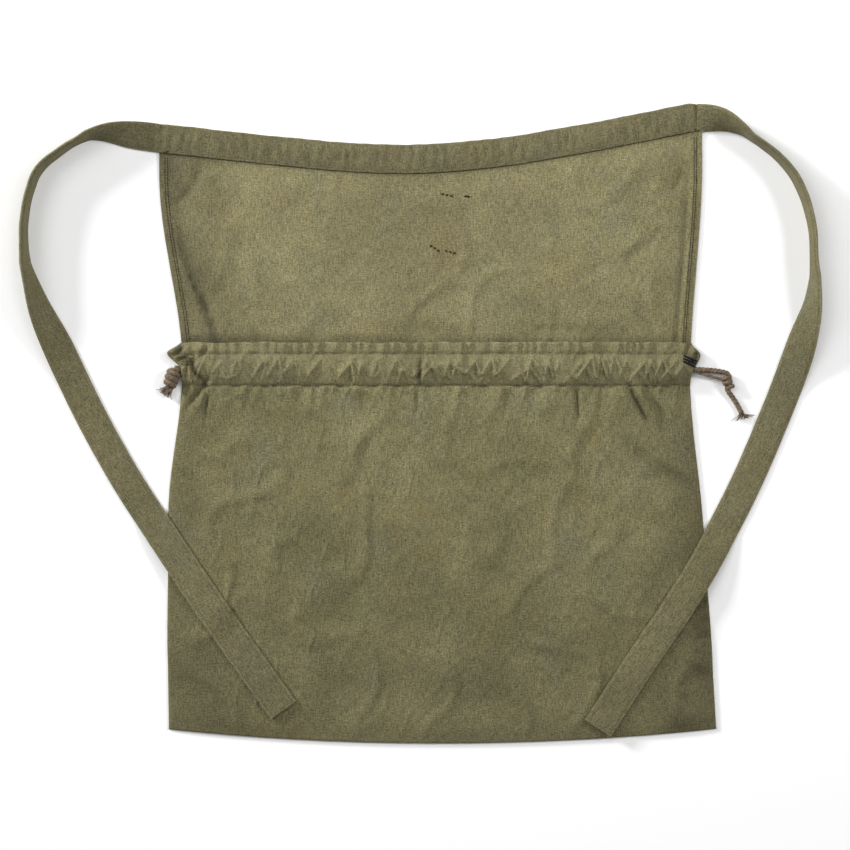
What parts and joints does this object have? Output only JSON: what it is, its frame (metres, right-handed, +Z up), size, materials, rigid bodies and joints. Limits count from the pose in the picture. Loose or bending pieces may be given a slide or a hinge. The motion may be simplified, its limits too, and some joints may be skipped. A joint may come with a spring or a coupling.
{
  "type": "waist apron",
  "caption": "Flat cotton waist apron with a large drawstring pouch, a curved waistband and long waist ties, laid flat with its front up.",
  "frame": {"origin": "on the underside of the back cloth, on the table, at the middle of the apron's body", "axes": "+X to the right of the pouch as seen from its front, +Y towards the waistband, +Z up out of the front"},
  "size_m": [0.746, 0.5938, 0.0283],
  "materials": {
    "cotton_drill": "matte woven",
    "sewing_thread": "matte thread",
    "dark_thread": "matte thread",
    "cotton_cord": "matte braided"
  },
  "bodies": {
    "apron": {"back_cloth": "cotton_drill", "bottom_fold": "cotton_drill", "waistband": "cotton_drill", "waistband_stitching": "sewing_thread", "waistband_bartacks": "dark_thread", "repair_stitches": "dark_thread", "side_hem_left": "cotton_drill", "side_hem_stitching_left": "sewing_thread", "side_seam_left": "cotton_drill", "pouch_margin_left": "cotton_drill", "header_corner_left": "cotton_drill", "channel_end_left": "cotton_drill", "eyelet_left": "dark_thread", "side_hem_right": "cotton_drill", "side_hem_stitching_right": "sewing_thread", "side_seam_right": "cotton_drill", "pouch_margin_right": "cotton_drill", "header_corner_right": "cotton_drill", "channel_end_right": "cotton_drill", "eyelet_right": "dark_thread"},
    "pouch_flap": {"pouch_front": "cotton_drill", "channel": "cotton_drill", "mouth_header": "cotton_drill", "channel_stitching": "sewing_thread", "drawstring_run": "cotton_cord"},
    "drawstring": {"drawstring_left_end": "cotton_cord", "left_stop_knot": "cotton_cord", "left_frayed_tip": "cotton_cord", "drawstring_right_end": "cotton_cord", "right_stop_knot": "cotton_cord", "right_return_strand": "cotton_cord", "right_frayed_tip": "cotton_cord"},
    "left_tie": {"left_tie": "cotton_drill", "left_tie_stitching": "sewing_thread"},
    "right_tie": {"right_tie": "cotton_drill", "right_tie_stitching": "sewing_thread"}
  },
  "joints": [
    {"name": "pouch_open", "type": "hinge", "parent": "apron", "child": "pouch_flap", "pos_m": [0, -0.2575, 0.002], "axis": [1, 0, 0], "range_deg": [0, 9]},
    {"name": "drawstring_slide", "type": "slide", "parent": "apron", "child": "drawstring", "axis": [1, 0, 0], "range_m": [-0.0145, 0]},
    {"name": "left_tie_swing", "type": "hinge", "parent": "apron", "child": "left_tie", "pos_m": [-0.267, 0.2974, 0.0009], "axis": [0, 0, 1], "range_deg": [-40, 0]},
    {"name": "right_tie_swing", "type": "hinge", "parent": "apron", "child": "right_tie", "pos_m": [0.25, 0.3164, 0.0009], "axis": [0, 0, 1], "range_deg": [0, 40]}
  ]
}
